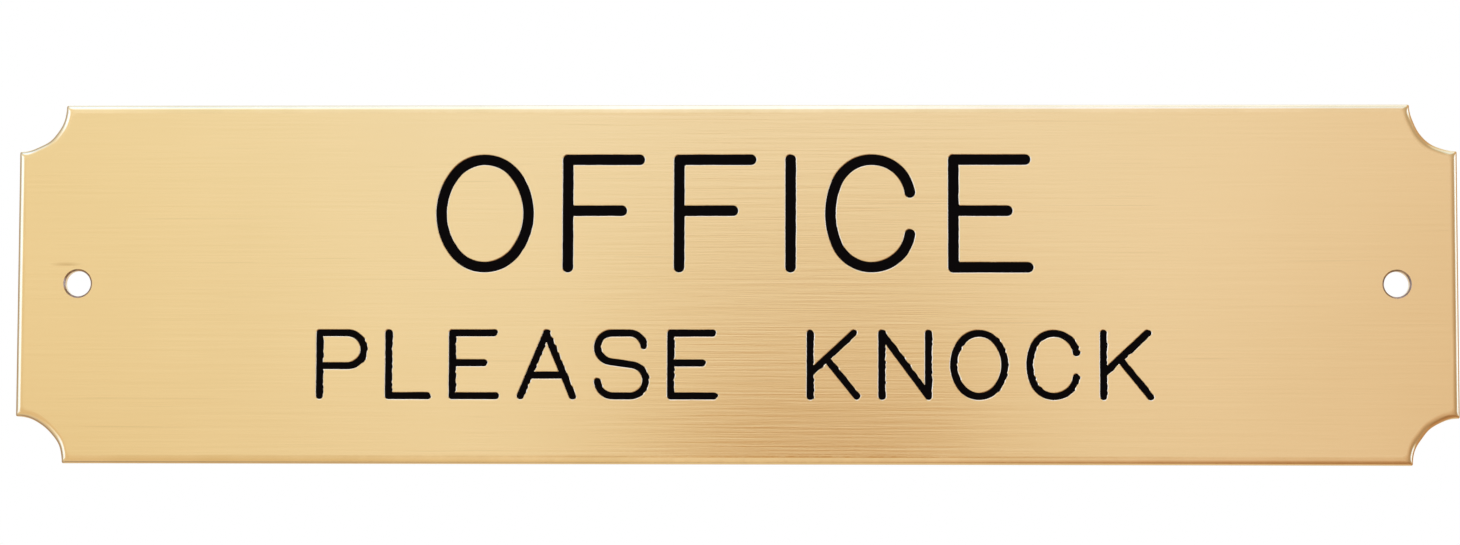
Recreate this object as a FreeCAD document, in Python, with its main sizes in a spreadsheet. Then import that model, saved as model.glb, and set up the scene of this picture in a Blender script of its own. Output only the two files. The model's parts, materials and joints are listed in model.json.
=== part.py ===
"""Engraved brass name plate for a door: one notched brass plate and the black enamel of each letter.

Frame: X along the plate, Z up, the face looks along -Y. The origin is the centre of the back face.
"""
import FreeCAD, Part

import math
import os

import Sketcher
from FreeCAD import Placement, Rotation, Vector

# Driving dimensions in millimetres. Every feature below reads them from the sheet.
DIMENSIONS = (
    ("plate_length", 203.2, "overall, 8 in"),
    ("plate_height", 50.8, "overall, 2 in"),
    ("plate_thickness", 1.6, "sheet, 1/16 in"),
    ("notch_radius", 6.6, "concave quarter circle about each corner"),
    ("face_round", 1.1, "rolled edge round the face"),
    ("back_break", 0.2, "broken edge round the back"),
    ("hole_radius", 1.8, "clearance for a 3.5 mm screw"),
    ("hole_inset", 8.7, "hole axis from the nearer end"),
    ("hole_break", 0.25, "broken rim of each hole, front and back"),
    ("groove_depth", 0.35, "face to the floor of the engraving"),
    ("groove_flank", 0.2, "run of each sloping groove wall"),
    ("enamel_recess", 0.06, "face to the top of the enamel"),
    ("large_cap", 15.2, "cap height of the top line, between stroke centres"),
    ("large_stroke", 1.5, "width of its strokes at the face"),
    ("large_gap", 4.1, "clear space between its letters"),
    ("large_base", 2.35, "its baseline above the plate's middle"),
    ("small_cap", 8.85, "cap height of the bottom line, between stroke centres"),
    ("small_stroke", 1.01, "width of its strokes at the face"),
    ("small_gap", 2.5, "clear space between its letters"),
    ("small_base", -15.8, "its baseline from the plate's middle"),
    ("word_space", 10.0, "extra space between two words"),
)

# The two lines of lettering, top line first: size name and text.
LINES = (("large", "OFFICE"), ("small", "PLEASE KNOCK"))

FACE_UP = Rotation(Vector(1, 0, 0), 90)  # turns a letter laid flat so that it reads on the face

doc = FreeCAD.newDocument("NamePlate")


# ---------------------------------------------------------------- single-stroke alphabet
# Glyphs are paths of a cutter's centre in cap heights, from the left end of the baseline.
# A line is ("line", start, end). An arc is ("arc", centre, radius, from angle, swept angle).
# Each stroke is (segments, capped points): the ends where the cutter leaves its round mark.

OVAL_CROWN = 0.355  # radius at the top and foot of O and C


def line(x0, z0, x1, z1):
    return ("line", (x0, z0), (x1, z1))


def bar(x0, z0, x1, z1, caps=2):
    """A straight stroke: caps is 2 for round ends, 1 for one at its far end only, 0 for none."""
    return ([line(x0, z0, x1, z1)], [(x0, z0), (x1, z1)][2 - caps:])


def arc_point(centre, radius, angle):
    turn = math.radians(angle)
    return (centre[0] + radius * math.cos(turn), centre[1] + radius * math.sin(turn))


def oval_arcs(width):
    """Half width, side radius and the angle at which side and crown meet.

    They describe an oval of four arcs, one cap height tall.
    """
    half = width / 2
    rise = 0.5 - OVAL_CROWN
    side = (half**2 + rise**2 - OVAL_CROWN**2) / (2 * (half - OVAL_CROWN))
    tangent = math.degrees(math.atan2(rise, side - half))
    return half, side, tangent


def letter_o(width):
    half, side, tangent = oval_arcs(width)
    crown_sweep = 180 - 2 * tangent
    arcs = [
        ("arc", (width - side, 0.5), side, -tangent, 2 * tangent),
        ("arc", (half, 1 - OVAL_CROWN), OVAL_CROWN, tangent, crown_sweep),
        ("arc", (side, 0.5), side, 180 - tangent, 2 * tangent),
        ("arc", (half, OVAL_CROWN), OVAL_CROWN, 180 + tangent, crown_sweep),
    ]
    return [(arcs, [])]


def letter_c(width, lip=8):
    """An O open on its right: lip is how far short of level each horn stops, in degrees."""
    half, side, tangent = oval_arcs(width)
    top, foot = (half, 1 - OVAL_CROWN), (half, OVAL_CROWN)
    sweep = 180 - tangent - lip
    arcs = [
        ("arc", top, OVAL_CROWN, lip, sweep),
        ("arc", (side, 0.5), side, 180 - tangent, 2 * tangent),
        ("arc", foot, OVAL_CROWN, 180 + tangent, sweep),
    ]
    ends = [arc_point(top, OVAL_CROWN, lip), arc_point(foot, OVAL_CROWN, -lip)]
    return [(arcs, ends)]


def letter_s(width):
    """Two bowls joined by the line that touches both from opposite sides."""
    upper, lower = 0.228, 0.248  # radii of the bowls
    short = 0.03  # how far the top's right side stops short of the foot's
    top_lip, foot_lip = 6, 4  # how far short of level each horn stops, in degrees
    top_left, foot_right = (upper, 1 - upper), (width - lower, lower)
    top_right, foot_left = (width - short - upper, 1 - upper), (lower, lower)
    run, drop = foot_right[0] - top_left[0], top_left[1] - foot_right[1]
    spine = math.asin((upper + lower) / math.hypot(run, drop)) - math.atan2(drop, run)
    lean = math.degrees(spine)
    arcs = [
        ("arc", top_right, upper, top_lip, 90 - top_lip),
        line(top_right[0], 1, top_left[0], 1),
        ("arc", top_left, upper, 90, 180 + lean),
        line(*arc_point(top_left, upper, 270 + lean), *arc_point(foot_right, lower, 90 + lean)),
        ("arc", foot_right, lower, -90, 180 + lean),
        line(foot_right[0], 0, foot_left[0], 0),
        ("arc", foot_left, lower, 180 + foot_lip, 90 - foot_lip),
    ]
    ends = [arc_point(top_right, upper, top_lip), arc_point(foot_left, lower, 180 + foot_lip)]
    return [(arcs, ends)]


def letter_p(width, bowl=0.262):
    waist = 1 - 2 * bowl
    loop = [
        line(0, 1, width - bowl, 1),
        ("arc", (width - bowl, 1 - bowl), bowl, -90, 180),
        line(width - bowl, waist, 0, waist),
    ]
    return [bar(0, 0, 0, 1), (loop, [])]


GLYPHS = {
    "A": (0.83, [bar(0, 0, 0.415, 1), bar(0.415, 1, 0.83, 0, 1), bar(0.137, 0.33, 0.693, 0.33, 0)]),
    "C": (0.77, letter_c(0.77)),
    "E": (0.69, [bar(0, 0, 0, 1), bar(0, 1, 0.665, 1, 1), bar(0, 0.525, 0.5, 0.525, 1),
                 bar(0, 0, 0.69, 0, 1)]),
    "F": (0.665, [bar(0, 0, 0, 1), bar(0, 1, 0.665, 1, 1), bar(0, 0.525, 0.5, 0.525, 1)]),
    "I": (0.0, [bar(0, 0, 0, 1)]),
    "K": (0.74, [bar(0, 0, 0, 1), bar(0, 0.36, 0.69, 1, 1), bar(0.257, 0.598, 0.74, 0, 1)]),
    "L": (0.62, [bar(0, 0, 0, 1), bar(0, 0, 0.62, 0, 1)]),
    "N": (0.74, [bar(0, 0, 0, 1), bar(0, 1, 0.74, 0, 1), bar(0.74, 0, 0.74, 1, 1)]),
    "O": (0.81, letter_o(0.81)),
    "P": (0.705, letter_p(0.705)),
    "S": (0.77, letter_s(0.77)),
}


# ---------------------------------------------------------------- document helpers


def dimension_sheet():
    sheet = doc.addObject("Spreadsheet::Sheet", "Dims")
    for row, (alias, value, note) in enumerate(DIMENSIONS, 1):
        sheet.set(f"A{row}", alias)
        sheet.set(f"B{row}", str(value))
        sheet.set(f"C{row}", note)
        sheet.setAlias(f"B{row}", alias)
    doc.recompute()
    return sheet


def bound(kind, name, **expressions):
    """Adds an object and binds its properties to expressions of the sheet's cells."""
    made = doc.addObject(kind, name)
    for path, expression in expressions.items():
        made.setExpression(path.replace("__", "."), expression)
    return made


def origin_plane(body, role):
    return next(f for f in body.Origin.OriginFeatures if f.Role == role)


def edges_at(shape, depth, rims_only):
    """Names of the edges in the plane y = depth: all of them, or only the holes' rims."""
    return [
        f"Edge{i}"
        for i, edge in enumerate(shape.Edges, 1)
        if abs(edge.BoundBox.YMin - depth) < 1e-6
        and abs(edge.BoundBox.YMax - depth) < 1e-6
        and (edge.isClosed() or not rims_only)
    ]


# ---------------------------------------------------------------- the plate


def drive(sketch, constraint, expression):
    """Adds a driving dimension to a sketch and binds it to the sheet."""
    index = sketch.addConstraint(constraint)
    sketch.setExpression(f"Constraints[{index}]", expression)


def outline_sketch(body):
    """The full rectangle of the sheet, centred on the origin."""
    sketch = body.newObject("Sketcher::SketchObject", "Outline")
    sketch.AttachmentSupport = [(origin_plane(body, "XZ_Plane"), "")]
    sketch.MapMode = "FlatFace"
    x, z = Dims.plate_length / 2, Dims.plate_height / 2
    corners = [Vector(-x, -z, 0), Vector(x, -z, 0), Vector(x, z, 0), Vector(-x, z, 0)]
    for here, after in zip(corners, corners[1:] + corners[:1]):
        sketch.addGeometry(Part.LineSegment(here, after), False)
    limit = Sketcher.Constraint
    sketch.addConstraint([limit("Coincident", i, 2, (i + 1) % 4, 1) for i in range(4)])
    sketch.addConstraint([limit("Horizontal", 0), limit("Horizontal", 2)])
    sketch.addConstraint([limit("Vertical", 1), limit("Vertical", 3)])
    sketch.addConstraint(limit("Symmetric", 0, 1, 2, 1, -1, 1))
    drive(sketch, limit("DistanceX", 0, 1, 0, 2, 2 * x), "Dims.plate_length")
    drive(sketch, limit("DistanceY", 1, 1, 1, 2, 2 * z), "Dims.plate_height")
    return sketch


def notch_sketch(body):
    """Half section of what a notch takes away, beside its axis through the corner point.

    It flares at the back by the broken edge and at the face by the rolled one.
    """
    sketch = body.newObject("Sketcher::SketchObject", "NotchSection")
    sketch.AttachmentSupport = [(origin_plane(body, "XY_Plane"), "")]
    sketch.MapMode = "FlatFace"
    sketch.setExpression("AttachmentOffset.Base.z", "Dims.plate_height / 2")
    axis = Dims.plate_length / 2
    wall, curl, nick = Dims.notch_radius, Dims.face_round, Dims.back_break
    face, clear = -Dims.plate_thickness, 1.0
    section = [(0, clear), (wall + nick, clear), (wall + nick, 0), (wall, -nick),
               (wall, face + curl), (wall + curl, face), (wall + curl, face - clear),
               (0, face - clear)]
    points = [Vector(axis - reach, y, 0) for reach, y in section]
    for i, (here, after) in enumerate(zip(points, points[1:] + points[:1])):
        if i == 4:
            circle = Part.Circle(Vector(after.x, here.y, 0), Vector(0, 0, 1), curl)
            sketch.addGeometry(Part.ArcOfCircle(circle, -math.pi / 2, 0), False)
        else:
            sketch.addGeometry(Part.LineSegment(here, after), False)
    limit = Sketcher.Constraint
    ends = [(i, 2, 1) if i != 4 else (i, 1, 2) for i in range(8)]
    for i, (edge, last, _) in enumerate(ends):
        following = ends[(i + 1) % 8]
        sketch.addConstraint(limit("Coincident", edge, last, following[0], following[2]))
    sketch.addConstraint([limit("Vertical", i) for i in (1, 3, 5, 7)])
    sketch.addConstraint([limit("Horizontal", i) for i in (0, 6)])
    sketch.addConstraint([limit("Horizontal", 4, 3, 4, 2), limit("Vertical", 4, 3, 4, 1)])
    sketch.addConstraint(limit("PointOnObject", 1, 2, -1))
    drive(sketch, limit("DistanceX", -1, 1, 7, 1, axis), "Dims.plate_length / 2")
    drive(sketch, limit("DistanceX", 3, 1, 7, 2, wall), "Dims.notch_radius")
    drive(sketch, limit("DistanceX", 2, 1, 2, 2, nick), "Dims.back_break")
    drive(sketch, limit("DistanceY", 2, 2, 2, 1, nick), "Dims.back_break")
    drive(sketch, limit("Radius", 4, curl), "Dims.face_round")
    drive(sketch, limit("DistanceY", 4, 1, -1, 1, -face), "Dims.plate_thickness")
    sketch.addConstraint(limit("DistanceY", 1, 2, 1, 1, clear))
    sketch.addConstraint(limit("DistanceY", 6, 1, 5, 1, clear))
    return sketch


def cut_notches(body):
    """Turns the notch section about one corner and mirrors the cut to the other three."""
    groove = body.newObject("PartDesign::Groove", "Notch")
    groove.Profile = notch_sketch(body)
    groove.ReferenceAxis = (groove.Profile[0], ["Edge8"])
    groove.Angle = 360
    doc.recompute()
    notches = body.newObject("PartDesign::MultiTransform", "Notches")
    notches.Originals = [groove]
    mirrors = []
    for role in ("YZ_Plane", "XY_Plane"):
        mirror = body.newObject("PartDesign::Mirrored", "Mirror" + role[:2])
        mirror.MirrorPlane = (origin_plane(body, role), [""])
        mirrors.append(mirror)
    notches.Transformations = mirrors
    body.Tip = notches
    doc.recompute()


def hole_sketch(body):
    """The two screw holes on the plate's middle line."""
    reach = Dims.plate_length / 2 - Dims.hole_inset
    sketch = body.newObject("Sketcher::SketchObject", "ScrewHoles")
    sketch.AttachmentSupport = [(origin_plane(body, "XZ_Plane"), "")]
    sketch.MapMode = "FlatFace"
    for side in (-1, 1):
        circle = Part.Circle(Vector(side * reach, 0, 0), Vector(0, 0, 1), Dims.hole_radius)
        hole = sketch.addGeometry(circle, False)
        limit = Sketcher.Constraint
        sketch.addConstraint(limit("PointOnObject", hole, 3, -1))
        drive(sketch, limit("Radius", hole, Dims.hole_radius), "Dims.hole_radius")
        ends = (-1, 1, hole, 3) if side > 0 else (hole, 3, -1, 1)
        drive(sketch, limit("DistanceX", *ends, reach), "Dims.plate_length / 2 - Dims.hole_inset")
    return sketch


def dress(body, kind, name, depth, size, rims_only=False):
    """Rounds or chamfers the edges of the body's tip that lie at one depth."""
    base = body.Tip
    feature = body.newObject(f"PartDesign::{kind}", name)
    feature.Base = (base, edges_at(base.Shape, depth, rims_only))
    feature.setExpression("Radius" if kind == "Fillet" else "Size", size)
    doc.recompute()


def plate_blank():
    """The plate before engraving: sheet with a rolled face edge, notched corners and holes."""
    body = doc.addObject("PartDesign::Body", "PlateBlank")
    pad = body.newObject("PartDesign::Pad", "Sheet")
    pad.Profile = outline_sketch(body)
    pad.setExpression("Length", "Dims.plate_thickness")
    doc.recompute()
    face = -Dims.plate_thickness
    dress(body, "Fillet", "RolledEdge", face, "Dims.face_round")
    dress(body, "Chamfer", "BackEdge", 0, "Dims.back_break")
    cut_notches(body)
    before = body.Shape.Volume
    holes = body.newObject("PartDesign::Pocket", "Drilling")
    holes.Profile = hole_sketch(body)
    holes.Type = "ThroughAll"
    holes.Reversed = True
    doc.recompute()
    drilled = 2 * math.pi * Dims.hole_radius**2 * Dims.plate_thickness
    if abs(before - body.Shape.Volume - drilled) > 0.01 * drilled:
        raise RuntimeError("the screw holes didn't cut the plate")
    dress(body, "Chamfer", "FrontRims", face, "Dims.hole_break", rims_only=True)
    dress(body, "Chamfer", "BackRims", 0, "Dims.hole_break", rims_only=True)
    return body


# ---------------------------------------------------------------- the engraving cutter's sweep
# Each letter is swept lying flat: z = 0 is the groove floor, z = groove_depth the plate's face,
# and the sweep carries on as far again above the face.

SWEEP_HEIGHT = "2 * Dims.groove_depth"


def half_width(size, at_top):
    sign = "+" if at_top else "-"
    return f"Dims.{size}_stroke / 2 {sign} Dims.groove_flank"


def em(size, value):
    return f"{value:.6f} * Dims.{size}_cap"


def swept_cap(name, size, point):
    """The truncated cone that the cutter leaves where a stroke starts or ends."""
    return bound(
        "Part::Cone", name,
        Radius1=half_width(size, False), Radius2=half_width(size, True), Height=SWEEP_HEIGHT,
        Placement__Base__x=em(size, point[0]), Placement__Base__y=em(size, point[1]))


def swept_line(name, size, start, end):
    """A straight groove of trapezoidal section between two points."""
    run, rise = end[0] - start[0], end[1] - start[1]
    length = math.hypot(run, rise)
    floor, top = half_width(size, False), half_width(size, True)
    wedge = bound(
        "Part::Wedge", name,
        Xmin=f"-({floor})", Xmax=floor, X2min=f"-({top})", X2max=top,
        Ymin="0", Ymax=SWEEP_HEIGHT,
        Zmin="0", Zmax=em(size, length), Z2min="0", Z2max=em(size, length))
    along = Vector(run / length, rise / length, 0)
    up = Vector(0, 0, 1)
    wedge.Placement = Placement(Vector(), Rotation(up.cross(along), up, along, "ZYX"))
    wedge.setExpression("Placement.Base.x", em(size, start[0]))
    wedge.setExpression("Placement.Base.y", em(size, start[1]))
    return wedge


def swept_arc(name, size, centre, radius, start, sweep):
    """A curved groove: a sector of one cone, hollowed by the cone that bounds its inner wall."""
    middle = em(size, radius)
    place = {"Placement__Base__x": em(size, centre[0]), "Placement__Base__y": em(size, centre[1])}
    outer = bound(
        "Part::Cone", name + "_outer",
        Radius1=f"{middle} + {half_width(size, False)}",
        Radius2=f"{middle} + {half_width(size, True)}",
        Height=SWEEP_HEIGHT, Angle=f"{sweep:.6f}")
    outer.Placement.Rotation = Rotation(Vector(0, 0, 1), start)
    for path, expression in place.items():
        outer.setExpression(path.replace("__", "."), expression)
    inner = bound(
        "Part::Cone", name + "_inner",
        Radius1=f"{middle} - ({half_width(size, False)})",
        Radius2=f"{middle} - ({half_width(size, True)})",
        Height=SWEEP_HEIGHT, **place)
    ring = doc.addObject("Part::Cut", name)
    ring.Base, ring.Tool = outer, inner
    return ring


def swept_letter(name, size, glyph):
    """All the strokes of one letter as one solid."""
    pieces, capped = [], set()
    for segments, caps in GLYPHS[glyph][1]:
        for segment in segments:
            piece_name = f"{name}_{len(pieces) + 1}"
            if segment[0] == "line":
                pieces.append(swept_line(piece_name, size, *segment[1:]))
            else:
                pieces.append(swept_arc(piece_name, size, *segment[1:]))
        capped.update(caps)
    for point in sorted(capped):
        pieces.append(swept_cap(f"{name}_{len(pieces) + 1}", size, point))
    if len(pieces) == 1:
        return pieces[0]
    letter = doc.addObject("Part::MultiFuse", name)
    letter.Shapes = pieces
    letter.Refine = True
    return letter


def set_line(size, text):
    """Sweeps a centred line of text. Returns (glyph, sweep) for each letter."""
    letters = [c for c in text if c != " "]
    total = sum(GLYPHS[c][0] for c in letters)
    gaps, spaces = len(letters) - 1, text.count(" ")
    ems = advances = words = 0
    placed = []
    for c in text:
        if c == " ":
            words += 1
            continue
        letter = swept_letter(f"{size}_{len(placed) + 1}_{c}", size, c)
        letter.Placement.Rotation = FACE_UP
        letter.setExpression("Placement.Base.x", (
            f"{ems - total / 2:.6f} * Dims.{size}_cap"
            f" + {advances - gaps / 2:.1f} * (Dims.{size}_stroke + Dims.{size}_gap)"
            f" + {words - spaces / 2:.1f} * Dims.word_space"))
        letter.setExpression("Placement.Base.y", "Dims.groove_depth - Dims.plate_thickness")
        letter.setExpression("Placement.Base.z", f"Dims.{size}_base")
        placed.append((c, letter))
        ems += GLYPHS[c][0]
        advances += 1
    return placed


# ---------------------------------------------------------------- engraved plate and its enamel


def enamel_layer():
    """The slab between the groove floor and the top of the enamel."""
    return bound(
        "Part::Box", "EnamelLayer",
        Length="Dims.plate_length", Height="Dims.plate_height",
        Width="Dims.groove_depth - Dims.enamel_recess",
        Placement__Base__x="-Dims.plate_length / 2", Placement__Base__z="-Dims.plate_height / 2",
        Placement__Base__y="Dims.enamel_recess - Dims.plate_thickness")


def build():
    """Makes every sub-part and returns the objects to export."""
    engraving = doc.addObject("Part::MultiFuse", "Engraving")
    layer = enamel_layer()
    sweeps, parts = [], []
    for size, text in LINES:
        for number, (glyph, sweep) in enumerate(set_line(size, text), 1):
            sweeps.append(sweep)
            fill = doc.addObject("Part::Common", f"Fill_{size}_{number}")
            fill.Base, fill.Tool = sweep, layer
            fill.Label = f"enamel_{size}_{number:02d}_{glyph}"
            parts.append(fill)
    engraving.Shapes = sweeps
    plate = doc.addObject("Part::Cut", "Plate")
    plate.Base, plate.Tool = plate_blank(), engraving
    plate.Label = "brass_plate"
    return [plate] + parts


def check(parts):
    """Stops on any failed feature, and on any sub-part that isn't one sound solid."""
    failed = [o.Name for o in doc.Objects if {"Invalid", "Error"} & set(o.State)]
    if failed:
        raise RuntimeError(f"features failed: {failed}")
    for part in parts:
        shape = part.Shape
        if shape.isNull() or not shape.isValid() or len(shape.Solids) != 1:
            raise RuntimeError(f"{part.Label} isn't one valid solid")


def export(parts):
    os.makedirs("parts", exist_ok=True)
    for part in parts:
        part.Shape.exportStep(os.path.join("parts", part.Label + ".step"))
        print(f"{part.Label:24s} {part.Shape.Volume:10.3f} mm3")


Dims = dimension_sheet()
parts = build()
doc.recompute()
check(parts)
export(parts)
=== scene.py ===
"""Looks of the engraved brass name plate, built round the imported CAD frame.

Metres, Z up, the engraved face looks along -Y. Shapes are worked out in millimetres.
"""

import json
import math

import bmesh
import bpy
import numpy as np
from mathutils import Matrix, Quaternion, Vector
from mathutils.geometry import delaunay_2d_cdt, intersect_point_tri_2d


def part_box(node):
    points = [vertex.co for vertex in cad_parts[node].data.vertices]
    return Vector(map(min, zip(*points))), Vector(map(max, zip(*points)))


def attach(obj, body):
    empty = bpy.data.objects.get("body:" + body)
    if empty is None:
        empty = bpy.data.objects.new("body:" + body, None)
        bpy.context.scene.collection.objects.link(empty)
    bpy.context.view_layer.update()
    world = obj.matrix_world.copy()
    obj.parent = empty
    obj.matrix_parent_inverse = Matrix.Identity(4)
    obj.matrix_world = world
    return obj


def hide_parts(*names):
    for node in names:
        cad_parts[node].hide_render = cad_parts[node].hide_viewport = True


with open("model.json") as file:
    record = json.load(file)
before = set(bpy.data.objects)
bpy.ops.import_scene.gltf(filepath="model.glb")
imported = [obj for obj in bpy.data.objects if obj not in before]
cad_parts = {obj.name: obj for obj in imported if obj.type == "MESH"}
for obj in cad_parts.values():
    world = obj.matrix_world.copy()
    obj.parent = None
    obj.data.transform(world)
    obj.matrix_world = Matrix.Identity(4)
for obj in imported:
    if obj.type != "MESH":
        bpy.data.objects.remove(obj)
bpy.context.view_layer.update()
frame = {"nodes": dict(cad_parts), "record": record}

MM = 0.001
rng = np.random.default_rng(20)

# ---------------------------------------------------------------- sizes, in millimetres

LOW, HIGH = (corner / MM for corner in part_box("brass_plate"))
HALF_LENGTH, HALF_HEIGHT = HIGH.x, HIGH.z
FACE, BACK = LOW.y, HIGH.y
HOLES = [m for m in frame["record"]["mounts"] if m["kind"] == "bore"]
HOLE_RADIUS = HOLES[0]["dims"]["r_mm"]
HOLE_CENTRES = [(m["pos_m"][0] / MM, m["pos_m"][2] / MM) for m in HOLES]
ENAMEL_NODES = sorted(n for n in frame["nodes"] if n.startswith("enamel_"))

NOTCH_RADIUS = 6.6
NOTCH_WOBBLE = 0.07  # hand-filed unevenness of the notches
ROLL_RADIUS = 1.1  # of the rolled edge round the face
ROLL_STEPS = 12
BACK_BREAK = 0.2
CUSP_ROUND = 0.22  # softening of the points beside each notch
HOLE_BREAK = 0.25
RIM_DEPTH = 0.3  # the front rim is deeper than it is wide
HOLD = 0.12  # width of the flat strip kept beside a rounded edge

# The engraving's section: distance in from the enamel's edge, and height above the face.
GROOVE = ((-0.13, 0.0), (-0.085, -0.03), (-0.03, -0.08), (0.166, -0.35))
GROOVE_FLOOR = GROOVE[-1][1]
# Distances in from that edge where the enamel's surface has its rings of points.
FILL_LEVELS = (-0.03, 0.03, 0.09, 0.166, 0.3)
FILL_RIM, FILL_MIDDLE = -0.08, -0.1  # heights of the enamel's surface
FILL_SAG = 0.07  # how far from the wall that surface levels out


# ---------------------------------------------------------------- letters as distance fields


def smooth_noise(x, z, pitch_x, pitch_z):
    """Value noise from -1 to 1 at arrays of points, with its own pitch along each axis."""
    u, v = x / pitch_x, z / pitch_z
    u, v = u - u.min(), v - v.min()
    lattice = rng.uniform(-1, 1, (int(u.max()) + 2, int(v.max()) + 2))
    i, j = u.astype(int), v.astype(int)
    a, b = u - i, v - j
    a, b = a * a * (3 - 2 * a), b * b * (3 - 2 * b)
    near = lattice[i, j] * (1 - b) + lattice[i, j + 1] * b
    far = lattice[i + 1, j] * (1 - b) + lattice[i + 1, j + 1] * b
    return near * (1 - a) + far * a


def rim_segments(node):
    """The outline of an enamel node's front surface, as an array of (start, end) points."""
    mesh = frame["nodes"][node].data
    mesh.calc_loop_triangles()
    spots = [tuple(round(c / MM, 4) for c in v.co) for v in mesh.vertices]
    front = min(spot[1] for spot in spots)
    uses = {}
    for triangle in mesh.loop_triangles:
        corners = [spots[i] for i in triangle.vertices]
        if all(corner[1] == front for corner in corners):
            for ends in zip(corners, corners[1:] + corners[:1]):
                edge = tuple(sorted(ends))
                uses[edge] = uses.get(edge, 0) + 1
    return np.array([[a[::2], b[::2]] for (a, b), count in uses.items() if count == 1])


class LetterField:
    """Signed distance into one letter's enamel on a grid, roughened as a cutter leaves it."""

    MARGIN = 0.5

    def __init__(self, node):
        small = "_small_" in node
        segments = rim_segments(node)
        self.step = 0.09 if small else 0.14
        self.low = segments.min((0, 1)) - self.MARGIN
        spans = segments.max((0, 1)) + self.MARGIN - self.low
        axes = [self.low[k] + np.arange(math.ceil(spans[k] / self.step) + 1) * self.step for k in (0, 1)]
        x, z = np.meshgrid(*axes, indexing="ij")
        distance = self.signed_distance(x, z, segments)
        right_edge = (-np.gradient(distance, self.step, axis=0)).clip(0, 1)
        chatter = smooth_noise(x, z, 2.5, 0.36 if small else 0.6)
        waver = smooth_noise(x, z, 1.4, 1.4)
        # The cutter chattered most on the small letters' right flanks.
        even, ragged = (0.015, 0.1) if small else (0.008, 0.02)
        self.values = distance + chatter * (even + ragged * right_edge) + waver * 0.012

    @staticmethod
    def signed_distance(x, z, segments):
        nearest = np.full(x.shape, np.inf)
        inside = np.zeros(x.shape, bool)
        for (x0, z0), (x1, z1) in segments:
            run, rise = x1 - x0, z1 - z0
            along = (((x - x0) * run + (z - z0) * rise) / (run * run + rise * rise)).clip(0, 1)
            nearest = np.minimum(nearest, np.hypot(x - x0 - along * run, z - z0 - along * rise))
            if z0 != z1:
                inside ^= ((z0 > z) != (z1 > z)) & (x < x0 + (z - z0) * run / rise)
        return np.where(inside, nearest, -nearest)

    def contour(self, level):
        """Marching squares: points and edges of the curve where the field equals level."""
        values = self.values - level
        high = values > 0
        points, ids, edges = [], {}, []

        def crossing(i, j, axis):
            """The point where the curve crosses the grid edge that leaves (i, j) along axis."""
            if (i, j, axis) not in ids:
                here, there = values[i, j], values[i + 1 - axis, j + axis]
                shift = here / (here - there)
                ids[i, j, axis] = len(points)
                points.append(self.low + self.step * np.array([i + shift * (1 - axis), j + shift * axis]))
            return ids[i, j, axis]

        corners = high[:-1, :-1].astype(int) + high[1:, :-1] + high[:-1, 1:] + high[1:, 1:]
        for i, j in np.argwhere((corners > 0) & (corners < 4)):
            around = ((i, j, 0), (i + 1, j, 1), (i, j + 1, 0), (i, j, 1))
            crossed = [crossing(m, n, axis) for m, n, axis in around
                       if high[m, n] != high[m + 1 - axis, n + axis]]
            if len(crossed) == 4 and high[i, j]:
                crossed = crossed[1:] + crossed[:1]
            edges += [(crossed[k], crossed[k + 1]) for k in range(0, len(crossed), 2)]
        return points, edges

    def deepest(self):
        """The grid point furthest inside the enamel."""
        return self.low + self.step * np.array(np.unravel_index(self.values.argmax(), self.values.shape))


# ---------------------------------------------------------------- flat regions


class Region:
    """Points and edges in the plane of the face, and the triangles between them."""

    def __init__(self):
        self.points, self.edges, self.tags, self.barriers = [], [], [], set()

    def add(self, points, edges, tag, barrier=False):
        """Adds a curve whose points all carry the same tag. A barrier bounds the region."""
        first = len(self.points)
        edges = [(first + a, first + b) for a, b in edges]
        self.points += [tuple(map(float, p)) for p in points]
        self.tags += [tag] * len(points)
        self.edges += edges
        if barrier:
            self.barriers.update(frozenset(e) for e in edges)
        return range(first, len(self.points))

    def add_loop(self, points, tag):
        return self.add(points, [(k, (k + 1) % len(points)) for k in range(len(points))], tag, True)

    def triangles(self, seed):
        """Every triangle that can be reached from the seed point without crossing a barrier."""
        result = delaunay_2d_cdt([Vector(p) for p in self.points], self.edges, [], 0, 1e-6, True)
        faces, origins = result[2], result[3]
        if any(not origin for origin in origins):
            raise RuntimeError("two curves of the face cross")
        faces = [[origins[i][0] for i in face] for face in faces]
        owners = {}
        for number, face in enumerate(faces):
            for a, b in zip(face, face[1:] + face[:1]):
                owners.setdefault(frozenset((a, b)), []).append(number)
        waiting = [next(n for n, face in enumerate(faces)
                        if intersect_point_tri_2d(seed, *(self.points[i] for i in face)))]
        reached = set(waiting)
        while waiting:
            face = faces[waiting.pop()]
            for a, b in zip(face, face[1:] + face[:1]):
                side = frozenset((a, b))
                if side in self.barriers:
                    continue
                for neighbour in owners[side]:
                    if neighbour not in reached:
                        reached.add(neighbour)
                        waiting.append(neighbour)
        return [faces[n] for n in sorted(reached)]


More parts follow.
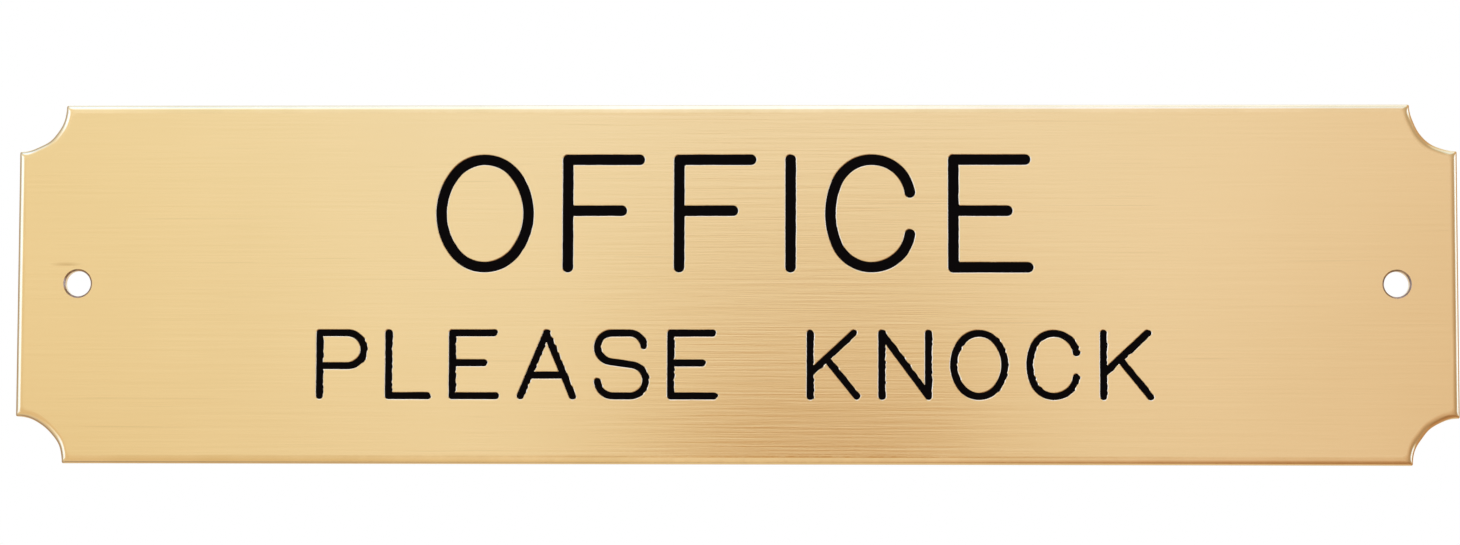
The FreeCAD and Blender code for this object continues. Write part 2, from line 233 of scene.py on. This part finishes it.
class Shell:
    """Vertices in millimetres and faces grouped by material, which end as one Blender mesh."""

    def __init__(self):
        self.vertices, self.faces, self.slots = [], [], []

    def lift(self, points, height):
        """Adds points of the plane of the face at one height or a list of heights."""
        first = len(self.vertices)
        heights = height if isinstance(height, list) else [height] * len(points)
        self.vertices += [(x, h, z) for (x, z), h in zip(points, heights)]
        return list(range(first, len(self.vertices)))

    def fill(self, triangles, ids, slot):
        self.faces += [[ids[i] for i in triangle] for triangle in triangles]
        self.slots += [slot] * len(triangles)

    def band(self, one, other, slot):
        """Quads between two closed rings of the same number of vertices."""
        next_one, next_other = one[1:] + one[:1], other[1:] + other[:1]
        self.faces += [list(corners) for corners in zip(one, next_one, next_other, other)]
        self.slots += [slot] * len(one)

    def build(self, name, materials, sharp_angle, flat_slots=()):
        mesh = bpy.data.meshes.new(name)
        mesh.from_pydata([Vector(v) * MM for v in self.vertices], [], self.faces)
        for material in materials:
            mesh.materials.append(material)
        mesh.polygons.foreach_set("material_index", self.slots)
        work = bmesh.new()
        work.from_mesh(mesh)
        loose = [v for v in work.verts if not v.link_faces]
        bmesh.ops.delete(work, geom=loose, context="VERTS")
        bmesh.ops.recalc_face_normals(work, faces=work.faces)
        open_edges = sum(not e.is_manifold for e in work.edges)
        work.to_mesh(mesh)
        work.free()
        if open_edges:
            raise RuntimeError(f"{name} isn't closed: {open_edges} edges")
        mesh.set_sharp_from_angle(angle=math.radians(sharp_angle))
        mesh.polygons.foreach_set("use_smooth", [p.material_index not in flat_slots for p in mesh.polygons])
        piece = bpy.data.objects.new(name, mesh)
        bpy.context.scene.collection.objects.link(piece)
        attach(piece, "root")
        return piece


# ---------------------------------------------------------------- the brass plate


def wobble_curves():
    """One smooth curve of small radius changes for each notch."""
    curves = []
    for _ in range(4):
        phases = rng.uniform(0, math.tau, 3)
        curves.append(lambda t, phases=phases: NOTCH_WOBBLE * math.sin(math.pi * t) * sum(
            math.sin(math.tau * t * k + phase) / k for k, phase in enumerate(phases, 1)))
    return curves


def outline(inset, wobbles, cusp_steps=6, notch_steps=36):
    """The notched outline moved inwards, anticlockwise as seen from the front."""
    cusp = CUSP_ROUND + 0.5 * inset
    radius = NOTCH_RADIUS + inset
    reach = math.sqrt((radius + cusp) ** 2 - (inset + cusp) ** 2)
    turn = math.atan2(reach, inset + cusp)
    loop = []
    for (side_x, side_z), wobble in zip(((1, 1), (-1, 1), (-1, -1), (1, -1)), wobbles):
        points = []
        for k in range(cusp_steps + 1):
            angle = turn * k / cusp_steps
            points.append((HALF_LENGTH - inset - cusp + cusp * math.cos(angle),
                           HALF_HEIGHT - reach + cusp * math.sin(angle)))
        for k in range(1, notch_steps):
            angle = math.pi + turn + (math.pi / 2 - 2 * turn) * k / notch_steps
            away = radius + wobble(k / notch_steps)
            points.append((HALF_LENGTH + away * math.cos(angle), HALF_HEIGHT + away * math.sin(angle)))
        for k in range(cusp_steps + 1):
            angle = math.pi / 2 - turn + turn * k / cusp_steps
            points.append((HALF_LENGTH - reach + cusp * math.cos(angle),
                           HALF_HEIGHT - inset - cusp + cusp * math.sin(angle)))
        points = [(side_x * x, side_z * z) for x, z in points]
        loop += points if side_x * side_z > 0 else points[::-1]
    return loop


def circle(centre, radius, count=72):
    angles = [math.tau * k / count for k in range(count)]
    return [(centre[0] + radius * math.cos(a), centre[1] + radius * math.sin(a)) for a in angles]


FACE_SLOT, EDGE_SLOT, CUT_SLOT, RIM_SLOT, BACK_SLOT = range(5)


def brass_plate(fields, materials):
    """One closed mesh: engraved face, rolled edge, back and the walls of the two holes."""
    wobbles = wobble_curves()
    shell = Shell()
    front, back = Region(), Region()

    outer = front.add_loop(outline(ROLL_RADIUS + HOLD, wobbles), 0.0)
    rims = [front.add_loop(circle(c, HOLE_RADIUS + HOLE_BREAK + HOLD), 0.0) for c in HOLE_CENTRES]
    for field in fields:
        for level, height in GROOVE:
            front.add(*field.contour(level), height)
    ids = shell.lift(front.points, [FACE - height for height in front.tags])
    triangles = front.triangles((0, 0))
    cut = [t for t in triangles if min(front.tags[i] for i in t) < 0]
    flat = [t for t in triangles if min(front.tags[i] for i in t) == 0]
    shell.fill(flat, ids, FACE_SLOT)
    shell.fill(cut, ids, CUT_SLOT)

    sections = [(BACK_BREAK, BACK), (0, BACK - BACK_BREAK)]
    for k in range(ROLL_STEPS + 1):
        angle = math.pi / 2 * k / ROLL_STEPS
        sections.append((ROLL_RADIUS * (1 - math.cos(angle)), FACE + ROLL_RADIUS * (1 - math.sin(angle))))
    rings = [shell.lift(outline(inset, wobbles), y) for inset, y in sections]
    rings.append([ids[i] for i in outer])
    for one, other in zip(rings, rings[1:]):
        shell.band(one, other, EDGE_SLOT)

    back_ids = rings[0][:]
    back.add_loop(outline(BACK_BREAK, wobbles), None)
    for centre, rim in zip(HOLE_CENTRES, rims):
        levels = [(HOLE_BREAK, FACE), (0.8 * HOLE_BREAK, FACE + 0.2 * RIM_DEPTH), (0, FACE + RIM_DEPTH),
                  (0, BACK - HOLE_BREAK), (HOLE_BREAK, BACK)]
        walls = [[ids[i] for i in rim]]
        walls += [shell.lift(circle(centre, HOLE_RADIUS + out), y) for out, y in levels]
        for one, other, slot in zip(walls, walls[1:], (FACE_SLOT, RIM_SLOT, RIM_SLOT, CUT_SLOT, CUT_SLOT)):
            shell.band(one, other, slot)
        back.add_loop(circle(centre, HOLE_RADIUS + HOLE_BREAK), None)
        back_ids += walls[-1]
    shell.fill(back.triangles((0, 0)), back_ids, BACK_SLOT)

    plate = shell.build("plate_brushed_brass", materials, 25, (FACE_SLOT, BACK_SLOT))
    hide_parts("brass_plate")
    return plate


# ---------------------------------------------------------------- the enamel


def enamel_letter(node, field, material):
    """A closed pool of enamel: its surface sinks from the walls, its underside follows the groove."""
    region = Region()
    for level in FILL_LEVELS:
        region.add(*field.contour(level), level, level == FILL_LEVELS[0])
    surface, under = [], []
    for level in region.tags:
        from_wall = level - FILL_LEVELS[0]
        surface.append(FACE - FILL_MIDDLE - (FILL_RIM - FILL_MIDDLE) * math.exp(-from_wall / FILL_SAG))
        down = min(1, from_wall / (GROOVE[-1][0] - FILL_LEVELS[0]))
        under.append(FACE - FILL_RIM - (GROOVE_FLOOR - FILL_RIM) * down)
    shell = Shell()
    # A triangle that only touches the rim would have its top and underside in the same place.
    triangles = [t for t in region.triangles(field.deepest())
                 if any(region.tags[i] != FILL_LEVELS[0] for i in t)]
    top = shell.lift(region.points, surface)
    bottom = shell.lift(region.points, under)
    bottom = [t if level == FILL_LEVELS[0] else b for t, b, level in zip(top, bottom, region.tags)]
    shell.fill(triangles, top, 0)
    shell.fill([t[::-1] for t in triangles], bottom, 0)
    letter = shell.build(node.replace("enamel_", "paint_"), [material], 50)
    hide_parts(node)
    return letter


# ---------------------------------------------------------------- node graphs


class Graph:
    """Short forms for building a node tree."""

    def __init__(self, tree):
        self.tree = tree
        tree.nodes.clear()

    def add(self, kind, inputs=None, **settings):
        """Adds a node. inputs maps a socket's name or number to a value or to another output."""
        node = self.tree.nodes.new("ShaderNode" + kind)
        for name, value in settings.items():
            setattr(node, name, value)
        for socket, value in (inputs or {}).items():
            if isinstance(value, bpy.types.NodeSocket):
                self.tree.links.new(value, node.inputs[socket])
            else:
                node.inputs[socket].default_value = value
        return node

    def math(self, operation, *values):
        return self.add("Math", dict(enumerate(values)), operation=operation).outputs[0]

    def noise(self, place, scale, detail=2.0, roughness=0.5):
        """Noise whose frequency per metre is given along each axis."""
        at = self.add("Mapping", {"Vector": place, "Scale": scale}).outputs[0]
        made = self.add("TexNoise", {"Vector": at, "Scale": 1.0, "Detail": detail, "Roughness": roughness})
        return made.outputs[0]

    def spread(self, value, low, high, to_low, to_high):
        """Maps the range low..high to to_low..to_high, clamped."""
        return self.add("MapRange", dict(enumerate((value, low, high, to_low, to_high)))).outputs[0]

    def ramp(self, value, low, high, stops):
        """A number that follows (position, level) stops placed between low and high."""
        peak = max(level for _, level in stops)
        node = self.add("ValToRGB", {0: self.spread(value, low, high, 0.0, 1.0)})
        elements = node.color_ramp.elements
        while len(elements) < len(stops):
            elements.new(0.5)
        for element, (position, level) in zip(elements, stops):
            element.position = (position - low) / (high - low)
            element.color = (level / peak, level / peak, level / peak, 1)
        return self.math("MULTIPLY", node.outputs[0], peak)

    def blend(self, factor, first, second):
        """Mixes two colours, each an output or an (r, g, b)."""
        node = self.add("Mix", data_type="RGBA")
        for socket, value in zip((0, 6, 7), (factor, first, second)):
            if isinstance(value, bpy.types.NodeSocket):
                self.tree.links.new(value, node.inputs[socket])
            else:
                node.inputs[socket].default_value = value if socket == 0 else (*value, 1)
        return node.outputs[2]

    def bump(self, height, distance, normal=None):
        """Relief from a height of 0 to 1 times a distance in metres, on top of another normal if given."""
        inputs = {"Height": height, "Distance": distance, "Strength": 1.0}
        if normal is not None:
            inputs["Normal"] = normal
        return self.add("Bump", inputs).outputs[0]


def new_material(name):
    material = bpy.data.materials.new(name)
    material.use_nodes = True
    graph = Graph(material.node_tree)
    place = graph.add("TexCoord").outputs["Object"]
    return material, graph, place


def finish_material(graph, **inputs):
    sockets = {name.replace("_", " "): value for name, value in inputs.items()}
    shader = graph.add("BsdfPrincipled", sockets)
    graph.add("OutputMaterial", {0: shader.outputs[0]})


# ---------------------------------------------------------------- materials

BRASS_PALE = (0.92, 0.70, 0.365)
BRASS_DEEP = (0.82, 0.61, 0.295)


def brushed_brass():
    """The face: brush lines along X of three lengths, a few faint scratches and a smudge by a hole."""
    material, graph, place = new_material("brushed_brass")
    lines = graph.noise(place, (22, 700, 5200), 2, 0.6)
    bands = graph.noise(place, (14, 200, 2300), 3, 0.6)
    dashes = graph.noise(place, (75, 300, 2600), 3, 0.6)
    clouds = graph.noise(place, (24, 24, 30), 3, 0.5)
    scratch = graph.spread(graph.noise(place, (40, 400, 4200), 1, 0.4), 0.73, 0.82, 0, 1)
    cloud_tone = graph.spread(clouds, 0.3, 0.7, 0, 0.3)
    tone = graph.math("ADD", graph.spread(lines, 0.3, 0.7, 0.25, 0.45), cloud_tone)
    colour = graph.blend(tone, BRASS_DEEP, BRASS_PALE)
    stain = graph.math("MAXIMUM", graph.math("MULTIPLY", scratch, 0.2), smudge(graph, place, lines))
    colour = graph.blend(stain, colour, (0.55, 0.36, 0.15))
    cloud_rough = graph.spread(clouds, 0.3, 0.7, 0, 0.02)
    rough = graph.math("ADD", graph.spread(lines, 0.3, 0.7, 0.13, 0.16), cloud_rough)
    normal = graph.bump(bands, 4e-6)
    normal = graph.bump(dashes, 8.5e-6, normal)
    normal = graph.bump(lines, 3e-6, normal)
    upright = graph.add("CombineXYZ", {0: 0.0, 1: 0.0, 2: 1.0}).outputs[0]
    finish_material(graph, Base_Color=colour, Metallic=1.0, Roughness=rough, Anisotropic=0.7,
                    Tangent=upright, Normal=normal)
    return material


def smudge(graph, place, lines):
    """A rub mark above the left hole, about 5 mm long and broken up by the brush lines."""
    x, z = HOLE_CENTRES[0]
    middle = ((x - 1.7) * MM, 0.0, (z + 2.75) * MM)
    off = graph.add("VectorMath", {0: place, 1: middle}, operation="SUBTRACT").outputs[0]
    off = graph.add("VectorMath", {0: off, 1: (400.0, 0.0, 3200.0)}, operation="MULTIPLY").outputs[0]
    away = graph.add("VectorMath", {0: off}, operation="LENGTH").outputs["Value"]
    fade = graph.spread(away, 0.2, 1.0, 0.85, 0.0)
    return graph.math("MULTIPLY", fade, graph.spread(lines, 0.3, 0.7, 0.3, 1.0))


def rolled_brass():
    """The rolled edge and the narrow side: buffed brighter than the face, a little uneven."""
    material, graph, place = new_material("rolled_brass")
    grain = graph.noise(place, (900, 900, 900), 3, 0.6)
    clouds = graph.noise(place, (60, 60, 60), 3, 0.5)
    colour = graph.blend(graph.spread(clouds, 0.3, 0.7, 0, 1), BRASS_DEEP, BRASS_PALE)
    cloud_rough = graph.spread(clouds, 0.3, 0.7, 0, 0.05)
    rough = graph.math("ADD", graph.spread(grain, 0.3, 0.7, 0.12, 0.2), cloud_rough)
    normal = graph.bump(clouds, 6e-5)
    normal = graph.bump(grain, 4e-6, normal)
    finish_material(graph, Base_Color=colour, Metallic=1.0, Roughness=rough, Normal=normal)
    return material


def cut_brass():
    """Bare metal in the engraving and the holes' walls, bright and slightly torn."""
    material, graph, place = new_material("cut_brass")
    tear = graph.noise(place, (1800, 3500, 1800), 3, 0.6)
    colour = graph.blend(graph.spread(tear, 0.3, 0.7, 0, 1), BRASS_DEEP, (0.95, 0.76, 0.45))
    rough = graph.spread(tear, 0.3, 0.7, 0.16, 0.3)
    normal = graph.bump(tear, 1e-5)
    finish_material(graph, Base_Color=colour, Metallic=1.0, Roughness=rough, Normal=normal)
    return material


def rim_brass_painted_shade():
    """The holes' broken front rims: dark with painted shade all round, blotched a little, with the drill's
    rings.
    """
    material, graph, place = new_material("rim_brass_painted_shade")
    rings = graph.noise(place, (300, 9000, 300), 2, 0.5)
    blotches = graph.noise(place, (1100, 1100, 1100), 3, 0.6)
    # Both rim colours are darkened brass: painted shade round the holes' front rims, blotched at random.
    colour = graph.blend(graph.spread(blotches, 0.35, 0.65, 0, 1), (0.30, 0.23, 0.17), (0.60, 0.46, 0.31))
    rough = graph.spread(blotches, 0.3, 0.7, 0.45, 0.3)
    normal = graph.bump(rings, 1.5e-5)
    finish_material(graph, Base_Color=colour, Metallic=1.0, Roughness=rough, Normal=normal)
    return material


def mill_brass():
    """The back: sheet as it left the mill, duller, with rolling lines, haze and stray scratches."""
    material, graph, place = new_material("mill_brass")
    rolling = graph.noise(place, (12, 200, 1600), 3, 0.6)
    haze = graph.noise(place, (35, 35, 35), 4, 0.6)
    stray = graph.spread(graph.noise(place, (1500, 200, 60), 2, 0.4), 0.68, 0.74, 0, 1)
    tone = graph.math("ADD", graph.spread(rolling, 0.3, 0.7, 0, 0.4), graph.spread(haze, 0.35, 0.65, 0, 0.6))
    colour = graph.blend(tone, (0.78, 0.60, 0.30), (0.90, 0.73, 0.42))
    rough = graph.math("ADD", graph.spread(haze, 0.35, 0.65, 0.42, 0.3), graph.spread(stray, 0, 1, 0, -0.08))
    normal = graph.bump(rolling, 2e-5)
    normal = graph.bump(stray, 5e-6, normal)
    finish_material(graph, Base_Color=colour, Metallic=1.0, Roughness=rough, Normal=normal)
    return material


def black_enamel():
    """Flat black paint, faintly rippled, with specks of dust in it."""
    material, graph, place = new_material("black_enamel")
    ripple = graph.noise(place, (1500, 1500, 1500), 2, 0.5)
    specks = graph.spread(graph.noise(place, (5200, 5200, 5200), 2, 0.6), 0.72, 0.8, 0, 1)
    colour = graph.blend(specks, (0.0018, 0.0010, 0.0010), (0.03, 0.025, 0.02))
    rough = graph.math("ADD", graph.spread(ripple, 0.3, 0.7, 0.3, 0.42), graph.spread(specks, 0, 1, 0, 0.2))
    normal = graph.bump(ripple, 2e-5)
    normal = graph.bump(specks, 8e-6, normal)
    finish_material(graph, Base_Color=colour, Roughness=rough, Normal=normal, Specular_IOR_Level=0.03)
    return material


def floor_paint():
    material, graph, place = new_material("pale_floor")
    grain = graph.noise(place, (40, 40, 40), 3, 0.5)
    colour = graph.blend(graph.spread(grain, 0.3, 0.7, 0, 1), (0.84, 0.82, 0.75), (0.87, 0.85, 0.78))
    finish_material(graph, Base_Color=colour, Roughness=0.7)
    return material


# ---------------------------------------------------------------- studio


def soft_box(graph, bearing, elevation, sides, heights, soft, level):
    """A patch of extra light, or of shade, between two bearings and two elevations, with soft edges."""
    gates = []
    for value, (low, high) in ((bearing, sides), (elevation, heights)):
        gates.append(graph.spread(value, low - soft, low + soft, 0.0, 1.0))
        gates.append(graph.spread(value, high - soft, high + soft, 1.0, 0.0))
    total = gates[0]
    for gate in gates[1:]:
        total = graph.math("MULTIPLY", total, gate)
    return graph.math("MULTIPLY", total, level)


def studio_light():
    """A white studio, dimmer to the right and low down, with soft boxes at the sides and overhead.
    Reflections see all of that. Camera rays and diffuse bounces see plain white paper."""
    world = bpy.data.worlds.new("studio")
    world.use_nodes = True
    bpy.context.scene.world = world
    graph = Graph(world.node_tree)
    direction = graph.add("TexCoord").outputs["Generated"]
    across, along, up = graph.add("SeparateXYZ", {0: direction}).outputs
    bearing = graph.math("ARCTAN2", across, graph.math("MULTIPLY", along, -1.0))
    bearing = graph.math("DEGREES", bearing)
    elevation = graph.math("DEGREES", graph.math("ARCSINE", up))

    around = graph.ramp(bearing, -180, 180, [
        (-180, 0.9), (-160, 0.85), (-132, 0.35), (-112, 0.45), (-96, 0.7), (-60, 0.95), (-30, 0.84),
        (-18, 0.87), (-12, 0.95), (-6, 1.03), (-2, 1.02), (4, 0.975), (7, 0.91), (10, 0.82), (16, 0.72),
        (26, 0.60), (40, 0.46), (100, 0.46), (112, 0.4), (135, 0.4), (155, 0.85), (180, 0.9)])
    over = graph.ramp(elevation, -90, 90, [
        (-90, 0.84), (-25, 0.86), (-8, 0.84), (0, 0.89), (6, 1.06), (12, 1.12), (36, 1.12), (50, 1.2),
        (90, 1.1)])

    # The dark camera on its stand, mirrored in the middle of the lower edge.
    off_axis = graph.math("ABSOLUTE", graph.math("ADD", bearing, 0.2))
    beside = graph.spread(off_axis, 2.0, 3.6, 1.0, 0.0)
    above = graph.spread(elevation, 0.3, 2.9, 1.0, 0.0)
    below = graph.spread(elevation, -16.0, -10.0, 0.0, 1.0)
    covered = graph.math("MULTIPLY", graph.math("MULTIPLY", beside, above), below)
    clear = graph.math("MULTIPLY_ADD", covered, -0.72, 1.0)

    level = graph.math("MULTIPLY", graph.math("MULTIPLY", around, over), clear)
    boxes = (
        ((-82, -44), (-24, 26), 6, 0.8),  # at the left
        ((71, 102), (-20, 20), 5, 1.2),  # at the right
        ((-200, 200), (56, 100), 9, 0.7),  # overhead
        ((4, 90), (-95, -42), 5, -0.14),  # shade, low on the right
    )
    for box in boxes:
        level = graph.math("ADD", level, soft_box(graph, bearing, elevation, *box))

    # Dim light is warmer and strong light cooler, less so towards the right.
    body = graph.math("MAXIMUM", graph.math("MINIMUM", level, 1.5), 0.25)
    less_red = graph.ramp(bearing, -180, 180, [
        (-180, 0.95), (-152, 0.92), (-132, 0.75), (-100, 0.75), (-60, 1.0), (16, 1.0), (40, 0.83),
        (66, 0.83), (80, 0.95), (180, 0.95)])
    more_blue = graph.ramp(bearing, -180, 180, [
        (-180, 1.05), (-152, 1.08), (-132, 1.5), (-100, 1.5), (-60, 1.0), (-13, 0.95), (-5, 1.03),
        (10, 1.12), (40, 1.24), (66, 1.3), (80, 1.1), (180, 1.05)])
    red = graph.math("MULTIPLY", graph.math("POWER", body, 0.5), less_red)
    cooler = graph.math("POWER", graph.math("MAXIMUM", body, 1.0), 0.7)
    blue = graph.math("MULTIPLY", graph.math("POWER", body, 1.5), more_blue)
    blue = graph.math("MULTIPLY", blue, cooler)
    # The mirrored camera is warmer than its darkness alone would make it.
    blue = graph.math("MULTIPLY", blue, graph.math("MULTIPLY_ADD", covered, -0.5, 1.0))
    tint = graph.add("CombineXYZ", {0: red, 1: body, 2: blue})
    glow = graph.add("VectorMath", {0: tint.outputs[0]}, operation="SCALE")
    graph.tree.links.new(graph.math("DIVIDE", level, body), glow.inputs["Scale"])

    rays = graph.add("LightPath").outputs
    plain = graph.math("MAXIMUM", rays["Is Camera Ray"], rays["Is Diffuse Ray"])
    light = graph.add("Background", {0: glow.outputs[0], 1: 1.0}).outputs[0]
    paper = graph.add("Background", {0: (1, 1, 1, 1), 1: 1.0}).outputs[0]
    mixed = graph.add("MixShader", {0: plain, 1: light, 2: paper}).outputs[0]
    graph.add("OutputWorld", {0: mixed})


def floor():
    """A pale floor some way under the plate, below the main camera's view."""
    drop, reach = 0.075, 1.6
    mesh = bpy.data.meshes.new("floor")
    z = LOW.z * MM - drop
    mesh.from_pydata([(-reach, -reach, z), (reach, -reach, z), (reach, reach, z), (-reach, reach, z)], [],
                     [(0, 1, 2, 3)])
    mesh.materials.append(floor_paint())
    piece = bpy.data.objects.new("floor", mesh)
    piece.visible_glossy = False  # kept out of the plate's reflections
    bpy.context.scene.collection.objects.link(piece)


def camera():
    """Nearly square on, a little right of the middle and a little below it."""
    azimuth, elevation, roll = (math.radians(a) for a in (1.57, -3.85, 0.13))
    distance = 0.487
    target = Vector((-0.0006, 0.0, 0.0017))
    back = Vector((math.sin(azimuth) * math.cos(elevation), -math.cos(azimuth) * math.cos(elevation),
                   math.sin(elevation)))
    data = bpy.data.cameras.new("camera")
    data.lens, data.sensor_width = 85, 36
    data.clip_start, data.clip_end = 0.01, 50
    eye = bpy.data.objects.new("camera", data)
    eye.rotation_mode = "QUATERNION"
    eye.location = target + back * distance
    eye.rotation_quaternion = (-back).to_track_quat("-Z", "Y") @ Quaternion((0, 0, 1), roll)
    bpy.context.scene.collection.objects.link(eye)
    bpy.context.scene.camera = eye


# ---------------------------------------------------------------- assembly

fields = {node: LetterField(node) for node in ENAMEL_NODES}
brass_plate(fields.values(), [brushed_brass(), rolled_brass(), cut_brass(), rim_brass_painted_shade(), mill_brass()])
paint = black_enamel()
for node, field in fields.items():
    enamel_letter(node, field, paint)
studio_light()
floor()
camera()
bpy.context.scene.view_settings.view_transform = "Standard"
